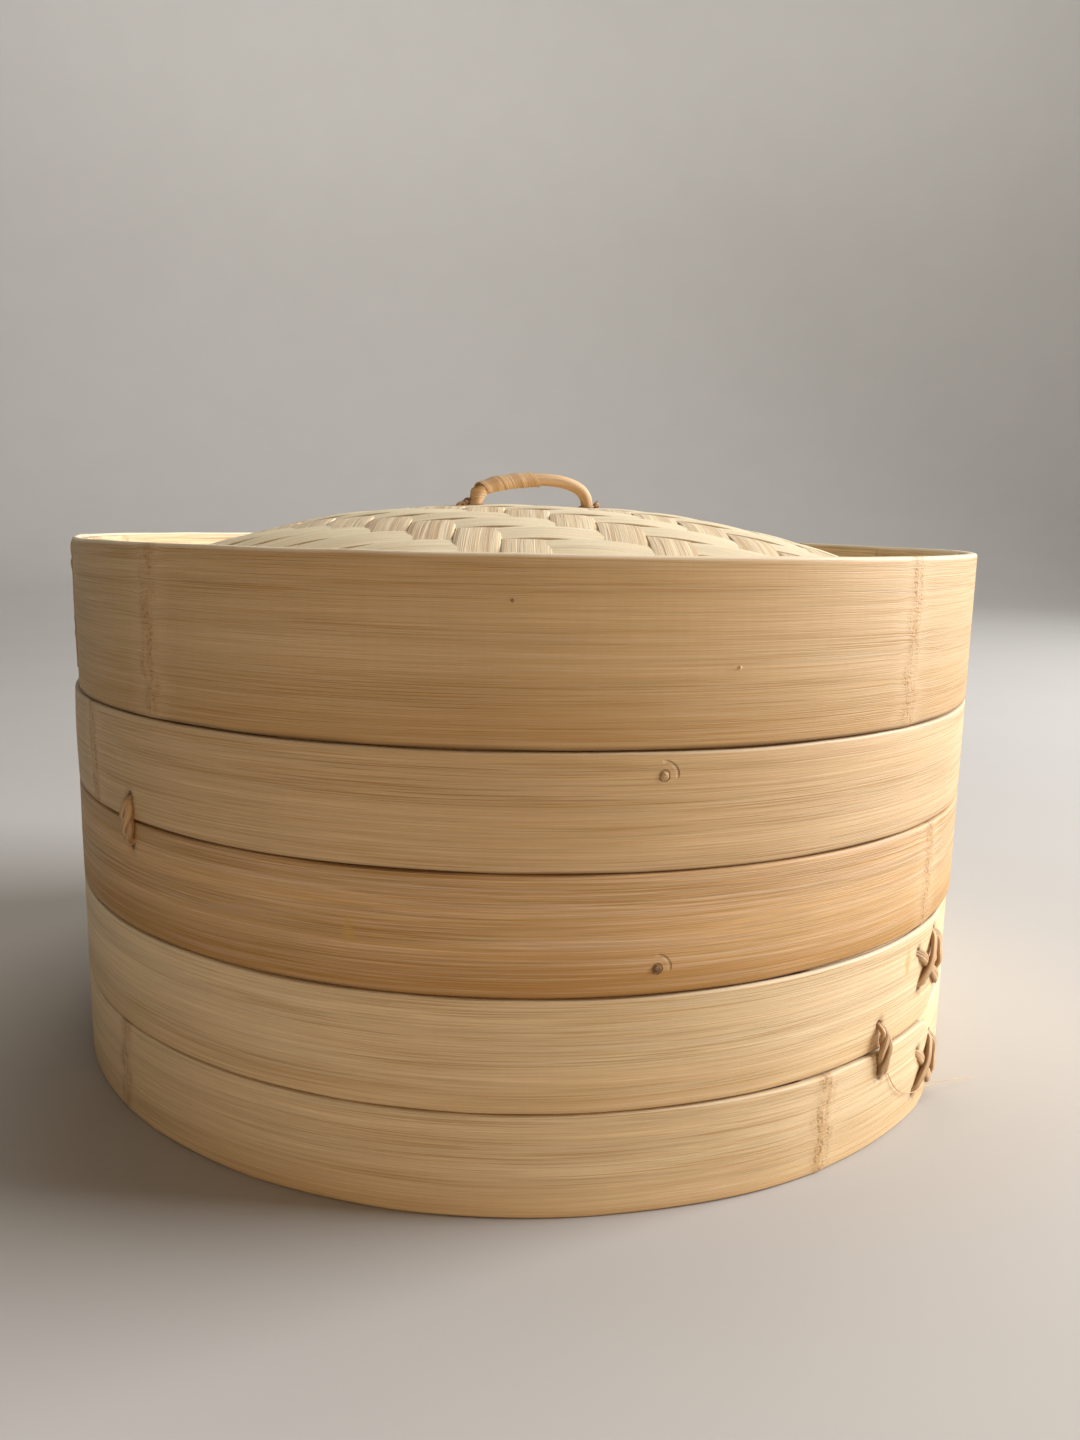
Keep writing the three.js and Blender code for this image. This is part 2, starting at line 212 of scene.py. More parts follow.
def knot_distance(angle, height, knots, seed):
    """Distance along the strip from the nearest bamboo node, whose scar wanders as it goes up."""
    wander = np.array([KNOT_WANDER * wave(level / (5 * MM), seed) for level in height])
    gaps = [np.abs(math.radians(angle - knot) * OUTER_RADIUS + wander) for knot in knots]
    return np.min(gaps, 0) if knots else np.full(height.shape, FAR)


def spot_distance(angle, height, spots, squash=1.0):
    """Distance of each point of a section from the nearest of some (angle, height) spots. Upward
    distances are first multiplied by squash."""
    gaps = []
    for spot_angle, spot_height in spots:
        around = (angle - spot_angle + 180) % 360 - 180
        gaps.append(np.hypot(math.radians(around) * OUTER_RADIUS, squash * (height - spot_height)))
    return np.min(gaps, 0) if gaps else np.full(height.shape, FAR)


def stations(start, sweep, details):
    """The strip's angles: an even row, with closer ones round each detail."""
    angles = list(np.linspace(start, start + sweep, round(sweep / STEP_ANGLE) + 1))
    for detail in details:
        for lap in (-360, 0, 360):
            angles += list(np.arange(-FINE_REACH, FINE_REACH, FINE_STEP) + detail + lap)
    angles = np.unique(np.round(angles, 2))
    return angles[(angles >= start) & (angles <= start + sweep)]


def bent_strip(name, start, sweep, radii, levels, seed, turn, base, knots, holes=(), nails=(),
               stains=(), rounding=EDGE_ROUND):
    """A strip bent round Z: radii(angle) gives its faces and levels(angle) its edges. Its outer face
    is dented round each hole. Holes, nails and stains are angles and heights before the turn and
    base."""
    low, high = levels(start + sweep / 2)
    rows = round((high - low) / ROW)
    details = [*knots, *(angle for angle, _ in (*holes, *nails, *stains))]
    blows = [(angle + BLOW_ANGLE, height + BLOW_RISE) for angle, height in nails]
    sections, grain, marks = [], [], []
    for angle in stations(start, sweep, details):
        inner, outer = radii(angle)
        low, high = levels(angle)
        low += EDGE_WAVE * abs(wave(angle / EDGE_WAVE_ANGLE, seed))
        high -= EDGE_WAVE * abs(wave(angle / EDGE_WAVE_ANGLE, seed + 1))
        outline = rounded_section(outer - inner, high - low, rounding, (rows, 1, rows // 3, 1))
        height = (low + high) / 2 + outline[:, 1]
        mark = {
            "knot": knot_distance(angle, height, knots, seed),
            "edge": np.clip((height - low) / (high - low), 0, 1),
            "hole": spot_distance(angle, height, holes),
            "nail": spot_distance(angle, height, nails),
            "blow": spot_distance(angle, height, blows),
            "stain": spot_distance(angle, height, stains, STAIN_SQUASH),
        }
        lift = FACE_WAVE * wave(angle / FACE_WAVE_ANGLE, seed + 2) * np.sin(np.pi * mark["edge"])
        lift = lift + (outline[:, 0] > 0) * face_relief(mark)
        radius = (inner + outer) / 2 + outline[:, 0] + lift
        sections.append(polar(angle + turn, radius, height + base))
        along = math.radians(angle) * OUTER_RADIUS
        grain.append(coords(along, height, radius))
        marks.append(mark)
    marks = {label: [mark[label] for mark in marks] for label in marks[0]}
    return swept_mesh(name, sections, grain, seed, **marks)


def face_relief(mark):
    """How far the outer face stands out at a bamboo node and goes in at a stitch hole."""
    rise = KNOT_RISE * np.exp(-((mark["knot"] / KNOT_WIDTH) ** 2))
    return rise - HOLE_DEPTH * (1 - smoothstep(mark["hole"], 0.3 * HOLE_RADIUS, HOLE_RADIUS))


def lapped_radii(start, full, first, last):
    """The faces of a strip whose ends lie on each other, pared thinner there, and thinnest at the
    outer end's tip."""
    tip = start + 360 + LAP_ANGLE

    def radii(angle):
        if angle < start + 180:
            pared = first
            share = smoothstep(angle, start + LAP_ANGLE, start + LAP_ANGLE + RAMP_ANGLE)
        else:
            pared = last
            share = 1 - smoothstep(angle, start + 360 - RAMP_ANGLE, start + 360)
        inner, outer = [pared[i] + (full[i] - pared[i]) * share for i in (0, 1)]
        feather = FEATHER * smoothstep(angle, tip - FEATHER_ANGLE, tip)
        return inner, outer - feather * (outer - inner)
    return radii


def outer_band(node, body, material, seed, bulge, tongue, knots=(), holes=(), nails=(), stains=(),
               rounding=EDGE_ROUND):
    """tongue is the length of the strip's shaped end, and how far its upper and lower corners are
    cut back there."""
    low, high = (corner.z - BASE[body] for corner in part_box(node))
    split = (BAND_INNER + OUTER_RADIUS + bulge) / 2
    radii = lapped_radii(
        LAP_START,
        (BAND_INNER, OUTER_RADIUS),
        (BAND_INNER, split - GAP / 2),
        (split + GAP / 2, OUTER_RADIUS + bulge),
    )
    sweep = 360 + LAP_ANGLE
    length, drop, rise = tongue

    def levels(angle):
        reach = np.clip((angle - LAP_START - sweep + length) / length, 0, 1)
        return low + rise * reach, high - drop * reach

    mesh = bent_strip(
        node, LAP_START, sweep, radii, levels, seed, TURN[body], BASE[body], knots, holes, nails, stains,
        rounding,
    )
    add_piece(node, [mesh], material, body)


def hoop(node, body, material, seed, lapped, knots):
    """An inner hoop, with its ends pared and lapped or else butted."""
    low, high = (corner.z - BASE[body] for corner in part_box(node))
    full = (HOOP_INNER, HOOP_OUTER)
    sweep, first, last = BUTTED_SWEEP, full, full
    if lapped:
        split = (HOOP_INNER + HOOP_OUTER) / 2
        sweep = 360 + LAP_ANGLE
        first = (split + GAP / 2, HOOP_OUTER)
        last = (HOOP_INNER, split - GAP / 2)
    radii = lapped_radii(HOOP_LAP_START, full, first, last)

    def levels(_):
        return low, high

    mesh = bent_strip(node, HOOP_LAP_START, sweep, radii, levels, seed, TURN[body], BASE[body], knots)
    add_piece(node, [mesh], material, body)


# Floor of a tier

def turned(points, body):
    """Points of a tier's own frame, turned to where the tier is."""
    turn = math.radians(TURN[body])
    cos, sin = math.cos(turn), math.sin(turn)
    x, y, z = np.moveaxis(np.array(points), -1, 0)
    return coords(x * cos - y * sin, x * sin + y * cos, z)


def add_slat(node, body, material, offset, seed, knot_place):
    """A floor slat with softened edges, along its tier's X, and ends that follow the wall."""
    low, high = (corner.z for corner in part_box(node))
    outline = rounded_section(SLAT_WIDTH, high - low, SLAT_ROUND, (1, 6, 1, 4))
    across, up = outline[:, 0] + offset, outline[:, 1]
    edge = outline[:, 0] / SLAT_WIDTH + 0.5
    z = (low + high) / 2 + up - SLAT_CROWN * (2 * edge - 1) ** 2 * (up > 0)
    reach = np.sqrt(FLOOR_RADIUS ** 2 - across ** 2)
    sections, grain, knot = [], [], []
    for share in np.linspace(1, -1, 121):
        x = share * reach
        sections.append(coords(x, across + SLAT_SWAY * wave(share * 4, seed), z))
        grain.append(coords(x, across, z))
        knot.append(np.abs(x - knot_place))
    mesh = swept_mesh(node, turned(sections, body), grain, seed, knot=knot, edge=edge)
    add_piece(node, [mesh], material, body)


def add_crossbar(node, body, material, x, seed):
    """A bar under the slats. Each end is cut to a thin tongue that rests on the ledge hoop."""
    low, high = (corner.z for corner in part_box(node))
    far_side = abs(x) + CROSSBAR_WIDTH / 2
    reach = math.sqrt(FLOOR_RADIUS ** 2 - far_side ** 2)
    shoulder = math.sqrt((HOOP_INNER - GAP) ** 2 - far_side ** 2)
    tongue = high - CROSSBAR_TONGUE
    bottoms = [(-reach, tongue), (-shoulder - CROSSBAR_STEP, tongue)]
    bottoms += [(y, low) for y in np.linspace(-shoulder, shoulder, 81)]
    bottoms += [(shoulder + CROSSBAR_STEP, tongue), (reach, tongue)]
    sections, grain = [], []
    for y, bottom in bottoms:
        outline = rounded_section(CROSSBAR_WIDTH, high - bottom, BAR_ROUND, (1, 4, 1, 4))
        z = (bottom + high) / 2 + outline[:, 1]
        across = x + outline[:, 0] + CROSSBAR_SWAY * wave(y * 30, seed)
        sections.append(coords(across, y, z))
        grain.append(coords(y, across, z))
    mesh = swept_mesh(node, turned(sections, body), grain, seed)
    add_piece(node, [mesh], material, body)


# Cane

def smooth_path(points, step=0.7 * MM):
    """Points about a step apart on a smooth curve through the given ones."""
    points = np.array(points, float)
    padded = np.vstack([2 * points[0] - points[1], points, 2 * points[-1] - points[-2]])
    path = []
    for a, b, c, d in zip(padded, padded[1:], padded[2:], padded[3:]):
        count = max(2, round(np.linalg.norm(c - b) / step))
        for t in np.arange(count) / count:
            bend = (2 * a - 5 * b + 4 * c - d) * t ** 2 + (3 * b - a - 3 * c + d) * t ** 3
            path.append(b + (c - a) * t / 2 + bend / 2)
    return np.array([*path, points[-1]])


def lengths_along(path):
    return np.concatenate([[0], np.cumsum(np.linalg.norm(np.diff(path, axis=0), axis=1))])


def unit(vectors):
    return vectors / np.linalg.norm(vectors, axis=-1, keepdims=True)


def ribbon(name, path, ups, widths, thickness, seed, tone=0.5):
    """A flat strip of cane along a path. Its broad outer face looks along ups, and its edges are
    thinner than its middle."""
    along = unit(np.gradient(path, axis=0))
    normal = unit(ups - along * np.sum(ups * along, -1, keepdims=True))
    side = np.cross(along, normal)
    widths = np.broadcast_to(widths, len(path))
    lengths = lengths_along(path)
    sections, grain = [], []
    for i, point in enumerate(path):
        outline = rounded_section(widths[i], thickness, 0.42 * thickness, (0, 4, 0, 2), arc=2)
        share = outline[:, 0] / widths[i] * 2
        crown = 0.28 * thickness * (1 - share ** 2) * np.sign(outline[:, 1])
        up = outline[:, 1] * 0.8 + crown
        sections.append(point + side[i] * outline[:, :1] + normal[i] * up[:, None])
        grain.append(coords(lengths[i], outline[:, 0], up))
    edge = outline[:, 0] / widths[-1] + 0.5
    return swept_mesh(name, sections, grain, seed, edge=edge, tone=tone)


def tube(name, path, radii, seed, sides=12, tone=0.5):
    """A round strand along a path, with a radius at each of its points."""
    along = unit(np.gradient(path, axis=0))
    flat = unit(np.cross(along, [0.13, 0.31, 0.94]))
    rise = np.cross(along, flat)
    turns = np.linspace(0, -2 * math.pi, sides, endpoint=False)
    radii = np.broadcast_to(radii, len(path))
    ring = flat[:, None] * np.cos(turns)[:, None] + rise[:, None] * np.sin(turns)[:, None]
    sections = path[:, None] + ring * radii[:, None, None]
    around = coords(lengths_along(path)[:, None], radii[:, None] * turns, 0)
    return swept_mesh(name, sections, around, seed, tone=tone)


CANE_WIDTH = 3.0 * MM
CANE_THICKNESS = 1.0 * MM
LOOP_WIDTH = 2.3 * MM
TIE_WIDTH = 2.0 * MM
REST_LIFT = 0.45 * MM
SUNK = -1.6 * MM
WHISKER_RADIUS = 0.09 * MM


def wall_ribbon(name, points, surface, body, seed, width=CANE_WIDTH, inside=False,
                thickness=CANE_THICKNESS):
    """A strand on a wall through (angle, lift, height) points, before the body's turn and base."""
    sign = -1 if inside else 1
    places = [polar(a + TURN[body], surface + sign * lift, z * MM + BASE[body]) for a, lift, z in points]
    path = smooth_path(places)
    ups = path * (1, 1, 0) * sign
    shares = np.linspace(0, 1, len(path))
    widths = width * (0.72 + 0.28 * smoothstep(shares, 0, 0.14) * (1 - smoothstep(shares, 0.86, 1)))
    ripple = np.array([1 + 0.07 * wave(share * 5, seed) for share in shares])
    return ribbon(name, path, ups, widths * ripple, thickness, seed, tone=0.5 + 0.4 * wave(seed, 3))


def strand_points(start, end, over=0.0, rest=REST_LIFT):
    """(angle, lift, height) from hole to hole across a wall's face. over is how much further than
    rest the strand rises in the middle."""
    rises = [(0, SUNK), (0.09, 0.2 * rest), (0.2, rest + 0.35 * over), (0.5, rest + over)]
    rises += [(1 - share, lift) for share, lift in rises[2::-1]]
    (angle, height), (last_angle, last_height) = start, end
    return [
        (angle + (last_angle - angle) * share, lift, height + (last_height - height) * share)
        for share, lift in rises
    ]


def cross_stitch(node, body, corners, surface, seed, material, extra=(), whisker=(),
                 thickness=CANE_THICKNESS):
    """Two strands that cross on a lap, extra loops beside them, a hair-thin loose fibre, and the two
    runs behind the wall."""
    top_left, top_right, low_left, low_right = corners
    rest = REST_LIFT * thickness / CANE_THICKNESS
    runs = [(top_left, low_right, 0.0), (low_left, top_right, thickness)]
    meshes = []
    for i, (start, end, over) in enumerate(runs):
        points = strand_points(start, end, over, rest)
        meshes.append(wall_ribbon(node, points, surface, body, seed + i, thickness=thickness))
    for i, loop in enumerate(extra):
        lifts = [SUNK, *(REST_LIFT for _ in loop[2:]), SUNK]
        points = [(angle, lift, height) for (angle, height), lift in zip(loop, lifts)]
        meshes.append(wall_ribbon(node, points, surface, body, seed + 10 + i, LOOP_WIDTH))
    if whisker:
        path = [polar(a + TURN[body], surface + lift * MM, z * MM + BASE[body]) for a, lift, z in whisker]
        meshes.append(tube(node, smooth_path(path), WHISKER_RADIUS, seed + 20, 6, 1.0))
    for i, (start, end) in enumerate([(top_left, top_right), (low_left, low_right)]):
        points = strand_points(start, end)
        meshes.append(wall_ribbon(node, points, HOOP_INNER, body, seed + 5 + i, inside=True))
    add_piece(node, meshes, material, body)


def band_tie(node, body, angle, seam, span, surface, seed, material):
    """Strands twisted round each other over the seam between two bands, and one run behind."""
    low, high = seam - span / 2, seam + span / 2
    meshes = []
    for i in range(3):
        points = [(angle, SUNK, low)]
        for share in np.linspace(0.1, 0.9, 9):
            turn = 2 * math.pi * (0.8 * share + i / 3)
            sway = 0.72 * math.sin(turn) * math.sin(math.pi * share)
            lift = REST_LIFT + 0.6 * MM * (1 + math.cos(turn)) * math.sin(math.pi * share)
            points.append((angle + sway, lift, low + span * share))
        points.append((angle, SUNK, high))
        meshes.append(wall_ribbon(node, points, surface, body, seed + i, TIE_WIDTH))
    behind = strand_points((angle, low), (angle, high))
    meshes.append(wall_ribbon(node, behind, HOOP_INNER, body, seed + 4, inside=True))
    add_piece(node, meshes, material, body)


def add_nail(node, body, angle, height, seed, material, size):
    """A bamboo nail with a slightly crowned head, driven through the wall."""
    profile = [(-4.4, 0.9), (-0.6, 1.0), (-0.1, 1.25), (0.12, 1.3), (0.3, 1.1), (0.36, 0.5)]
    depths, radii = np.array(profile).T * MM
    path = polar(angle + TURN[body], OUTER_RADIUS + depths, height * MM + BASE[body])
    add_piece(node, [tube(node, path, radii * size, seed, 16)], material, body)


# Woven dome

DOME_RADIUS = 120 * MM
DOME_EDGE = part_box("lid_outer_weave")[0].z + 1.5 * MM
DOME_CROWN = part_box("lid_outer_weave")[1].z
DOME_POWER = 2.4
WEAVE_REACH = 123.5 * MM
WEAVE_ROUND = 0.3 * MM
WEAVE_SWAY = 0.25 * MM
FLAT_FROM = 113 * MM
FLAT_TO = 120.5 * MM
END_MARGIN = 0.55
V_PITCH = 11.6 * MM
V_START = 0.3 * MM
H_PITCH = 11.3 * MM
H_START = -41.2 * MM


def dome_height(radius):
    share = np.minimum(radius / DOME_RADIUS, 1)
    return DOME_EDGE + (DOME_CROWN - DOME_EDGE) * (1 - share ** DOME_POWER)


def weave_strip(name, line, along_y, layer, seed, tone):
    """One strip of the dome, along Y or along X, at a fixed x or y. It goes over two of the strips
    that it crosses and under the next two, and lies flat near the hoop."""
    reach = math.sqrt(WEAVE_REACH ** 2 - line ** 2)
    count = max(8, round(2 * reach / layer["step"]))
    run = 0 if along_y else 1
    width = layer["widths"][run] * (1 + 0.03 * wave(seed, 2))
    sections, grain = [], []
    for share in np.linspace(-1, 1, count):
        outline = rounded_section(width, layer["thickness"], WEAVE_ROUND, (0, 5, 0, 3), arc=2)
        place = share * reach
        side = line + outline[:, 0] + WEAVE_SWAY * wave(place * 25, seed)
        way = share * np.sqrt(np.maximum(WEAVE_REACH ** 2 - side ** 2, 0))
        x, y = (side, way) if along_y else (way, side)
        centre_x, centre_y = (line, place) if along_y else (place, line)
        column = (centre_x - V_START) / V_PITCH
        phase = 2 * math.pi / (4 * H_PITCH) * (centre_y - H_START + H_PITCH * column)
        swing = layer["swings"][run] * math.cos(phase) * (1 if along_y else -1)
        swing *= 1 - smoothstep(math.hypot(centre_x, centre_y), FLAT_FROM, FLAT_TO)
        crown = layer["crowns"][run] * (1 - (outline[:, 0] / width * 2) ** 2)
        z = dome_height(np.hypot(x, y)) - layer["depth"] + swing + outline[:, 1] + crown
        sections.append(coords(x, y, z))
        grain.append(coords(way, *outline.T))
    if not along_y:
        sections.reverse()
        grain.reverse()
    edge = outline[:, 0] / width + 0.5
    return swept_mesh(name, sections, grain, seed, edge=edge, tone=tone)


LAYERS = {
    "outer": {
        "widths": (11.5 * MM, 12.0 * MM), "thickness": 0.6 * MM, "crowns": (0.12 * MM, 0.4 * MM),
        "swings": (0.42 * MM, 0.5 * MM), "depth": 0.9 * MM, "step": 1.6 * MM,
    },
    "inner": {
        "widths": (11.5 * MM, 11.2 * MM), "thickness": 0.5 * MM, "crowns": (-0.1 * MM, -0.1 * MM),
        "swings": (0.35 * MM, 0.35 * MM), "depth": 2.7 * MM, "step": 3.2 * MM,
    },
}


def strip_lines(start, pitch):
    """The number and middle line of each strip that fits under the rim hoop."""
    first = math.ceil((-WEAVE_REACH - start) / pitch + END_MARGIN)
    last = math.floor((WEAVE_REACH - start) / pitch - END_MARGIN)
    return [(i, start + i * pitch) for i in range(first, last + 1)]


def woven_layer(node, layer, materials, seed):
    """The two sets of strips of one layer of the dome, as one piece each."""
    runs = {
        "up_and_down": (True, strip_lines(V_START, V_PITCH), materials[0]),
        "side_to_side": (False, strip_lines(H_START + H_PITCH / 2, H_PITCH), materials[1]),
    }
    for label, (along_y, lines, material) in runs.items():
        first = seed + (50 if along_y else 90)
        meshes = [
            weave_strip(node, line, along_y, LAYERS[layer], first + i, strip_tone(i, along_y))
            for i, line in lines
        ]
        add_piece(node, meshes, material, "lid", f"_{label}")


def strip_tone(i, along_y):
    """How striped a strip is: smooth and pale near 0, strongly striped near 1."""
    if along_y:
        return float(np.clip(0.62 + 0.38 * wave(i * 1.7, 5), 0, 1))
    return float(np.clip(0.16 + 0.2 * wave(i * 1.7, 9), 0, 1))


# Handle

HANDLE_TURN = 18
LID_BASE = BASE["lid"]
# Where the middle of the handle's cane is, as x and z in millimetres in the handle's own frame
HANDLE_ROUTE = [
    (-21.8, 39.6), (-18, 39.8), (-15.8, 42), (-15.3, 46.5), (-15.2, 50.1), (-14.1, 52.8), (-11.2, 54.4),
    (-5.3, 55.7), (1.6, 56.5), (5.5, 56.6), (10, 56.3), (14, 55.4), (17.2, 53.8), (19, 51.4), (19.5, 48),
    (19.7, 44), (20.4, 41.2), (22.6, 39.8), (26, 39.6),
]
HANDLE_CORE = 1.2 * MM
HANDLE_SKIN = 1.8 * MM
WRAP_SHARES = (0.2, 0.5)
WRAP_THICKNESS = 0.5 * MM
WRAP_WIDTH = 5.2 * MM
WRAP_PITCH = 5.4 * MM
WRAP_RADIUS = 1.85 * MM
POINTS_PER_TURN = 22
# Millimetres from a foot, outwards and up: loops have their middle and radius, tails both ends
LASHING_RADIUS = 2
TURN_STRAND = 0.38 * MM
KNOT_STRAND = 0.5 * MM
TAIL_TIP = 0.28 * MM
LASHINGS = {
    "left": {
        "foot": -15.3, "outward": -1, "loops": [(2.6, 1.9, 0.8), (3.5, 1.4, 0.6), (2.9, 1.2, 0.6)],
        "tails": [((3.6, 1.5), (6.2, 0.9)), ((3, 1.2), (5.4, 1.5))],
    },
    "right": {
        "foot": 19.2, "outward": 1, "loops": [(3.3, 1.9, 0.6), (3.2, 1.4, 0.5)],
        "tails": [((3.2, 2.0), (3.7, 3.1)), ((2, 1.0), (3.3, 1.2))],
    },
}
BRACE_LENGTH = 58 * MM
BRACE_WIDTH = 9 * MM
BRACE_GAP = 0.6 * MM
BRACE_GRAIN = 1.7


def crown_point(x, z, y=0.0):
    """Points of the handle's own frame, given in millimetres, where the lid has them."""
    return polar(HANDLE_TURN, x * MM, LID_BASE + z * MM) + polar(HANDLE_TURN + 90, y * MM, 0)


def handle_wrap(path, seed):
    """Cane wound round a stretch of the handle."""
    lengths = lengths_along(path)
    start, end = (share * lengths[-1] for share in WRAP_SHARES)
    places = np.linspace(start, end, round((end - start) / WRAP_PITCH * POINTS_PER_TURN))
    centres, along = [
        coords(*(np.interp(places, lengths, column) for column in values.T))
        for values in (path, unit(np.gradient(path, axis=0)))
    ]
    level = polar(HANDLE_TURN + 90, 1.0, 0)
    turns = 2 * math.pi * (places[:, None] - start) / WRAP_PITCH
    ups = level * np.cos(turns) + np.cross(along, level) * np.sin(turns)
    places = centres + ups * WRAP_RADIUS
    return ribbon("wrap", places, ups, WRAP_WIDTH, WRAP_THICKNESS, seed)


def add_handle(cane, lash, wood):
    """The handle's cane, which is thinner where it goes through the dome, and what holds it."""
    path = smooth_path(crown_point(*np.array(HANDLE_ROUTE).T))
    above = smoothstep(path[:, 2], LID_BASE + 43 * MM, LID_BASE + 46 * MM)
    core = tube("handle_core", path, HANDLE_CORE + (HANDLE_SKIN - HANDLE_CORE) * above, 3, 16)
    add_piece("handle_core", [core], cane, "lid")
    add_piece("handle_wrap", [handle_wrap(path, 5)], cane, "lid")
    for side in LASHINGS:
        add_lashing(side, lash)
    add_brace(wood)


def add_lashing(side, material):
    """Cane tied round a foot of the handle, with its knot and loose tails on the foot's outer side."""
    lashing = LASHINGS[side]
    foot, outward = lashing["foot"], lashing["outward"]
    bottom = (dome_height(abs(foot) * MM) - LID_BASE) / MM - 1
    meshes = []
    for i, height in enumerate((0.5, 1.3)):
        turns = np.radians(np.linspace(0, 400, 44) + 70 * i)
        x = foot + LASHING_RADIUS * np.cos(turns)
        z = bottom + height + 0.3 * np.sin(turns + i)
        path = smooth_path(crown_point(x, z, LASHING_RADIUS * np.sin(turns)), 1.0 * MM)
        meshes.append(tube(f"turn_{i}", path, TURN_STRAND, i + 20, 8))
    for i, (reach, height, size) in enumerate(lashing["loops"]):
        turns = np.radians(np.linspace(0, 380, 28) + 130 * i)
        x = foot + outward * (reach + size * np.cos(turns))
        z = bottom + height + size * np.sin(turns)
        path = smooth_path(crown_point(x, z, 0.6 * np.sin(2 * turns + i)), 0.6 * MM)
        meshes.append(tube(f"loop_{i}", path, KNOT_STRAND, i + 30, 8))
    for i, (start, end) in enumerate(lashing["tails"]):
        middle = ((start[0] + end[0]) / 2, (start[1] + end[1]) / 2 + 0.3)
        tail = [crown_point(foot + outward * x, bottom + z, i - 0.5) for x, z in (start, middle, end)]
        path = smooth_path(tail, 0.6 * MM)
        meshes.append(tube(f"tail_{i}", path, np.linspace(KNOT_STRAND, TAIL_TIP, len(path)), i + 40, 8))
    add_piece(f"handle_lashing_{side}", meshes, material, "lid")


def add_brace(material):
    """The wooden strip under the dome that the handle's ends are clinched round."""
    low, high = (corner.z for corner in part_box("handle_brace"))
    high -= BRACE_GAP
    sections, grain = [], []
    for x in np.linspace(-BRACE_LENGTH / 2, BRACE_LENGTH / 2, 41):
        outline = rounded_section(BRACE_WIDTH, high - low, 0.8 * MM, (1, 3, 1, 3))
        place = polar(HANDLE_TURN, x, 0) + outline[:, :1] * polar(HANDLE_TURN - 90, 1, 0)
        place[:, 2] = (low + high) / 2 + outline[:, 1]
        sections.append(place)
        grain.append(coords(x, *outline.T))
    mesh = swept_mesh("brace", sections, np.array(grain) + BRACE_GRAIN, 0)
    add_piece("handle_brace", [mesh], material, "lid")


# Materials

def rgba(colour):
    return colour if isinstance(colour, bpy.types.NodeSocket) else (*colour, 1.0)


class Shader:
    """A procedural material and short ways to add its nodes."""

    def __init__(self, name):
        self.material = bpy.data.materials.new(name)
        self.material.use_nodes = True
        self.tree = self.material.node_tree
        self.surface = self.tree.nodes["Principled BSDF"]

    def put(self, socket, value):
        if isinstance(value, bpy.types.NodeSocket):
            self.tree.links.new(value, socket)
        else:
            socket.default_value = value

    def node(self, kind, *values, **settings):
        node = self.tree.nodes.new(kind)
        for key, value in settings.items():
            setattr(node, key, value)
        for socket, value in zip(node.inputs, values):
            self.put(socket, value)
        return node

    def attribute(self, name, output="Fac"):
        return self.node("ShaderNodeAttribute", attribute_name=name).outputs[output]

    def math(self, operation, *values):
        return self.node("ShaderNodeMath", *values, operation=operation).outputs[0]

    def times(self, first, second):
        return self.math("MULTIPLY", first, second)

    def cells(self, place, size, shift=(0, 0, 0), detail=2.0, roughness=0.5):
        """Noise with one cell for so many millimetres along, across and into the fibres."""
        scale = tuple(1 / (length * MM) for length in size)
        scaled = self.node("ShaderNodeVectorMath", place, scale, shift, operation="MULTIPLY_ADD")
        texture = self.node("ShaderNodeTexNoise", noise_dimensions="3D")
        values = {"Vector": scaled.outputs[0], "Scale": 1.0, "Detail": detail, "Roughness": roughness}
        for label, value in values.items():
            self.put(texture.inputs[label], value)
        return texture.outputs[0]

    def span(self, value, low, high, to_low=0.0, to_high=1.0):
        """value mapped smoothly from low..high to to_low..to_high."""
        return self.node(
            "ShaderNodeMapRange", value, low, high, to_low, to_high, interpolation_type="SMOOTHSTEP"
        ).outputs[0]

    def mix(self, share, first, second, blend="MIX"):
        node = self.tree.nodes.new("ShaderNodeMix")
        node.data_type = "RGBA"
        node.blend_type = blend
        self.put(node.inputs[0], share)
        self.put(node.inputs[6], rgba(first))
        self.put(node.inputs[7], rgba(second))
        return node.outputs[2]

    def shade(self, colour, brightness):
        """colour times a brightness."""
        grey = self.node("ShaderNodeCombineXYZ", brightness, brightness, brightness).outputs[0]
        return self.mix(1.0, colour, grey, "MULTIPLY")

    def finish(self, colour, roughness, height, depth, gloss=0.4):
        bump = self.tree.nodes.new("ShaderNodeBump")
        bump.inputs["Distance"].default_value = depth
        self.put(bump.inputs["Height"], height)
        self.put(self.surface.inputs["Base Color"], rgba(colour))
        self.put(self.surface.inputs["Roughness"], roughness)
        self.put(self.surface.inputs["Normal"], bump.outputs[0])
        self.surface.inputs["Specular IOR Level"].default_value = gloss
        return self.material


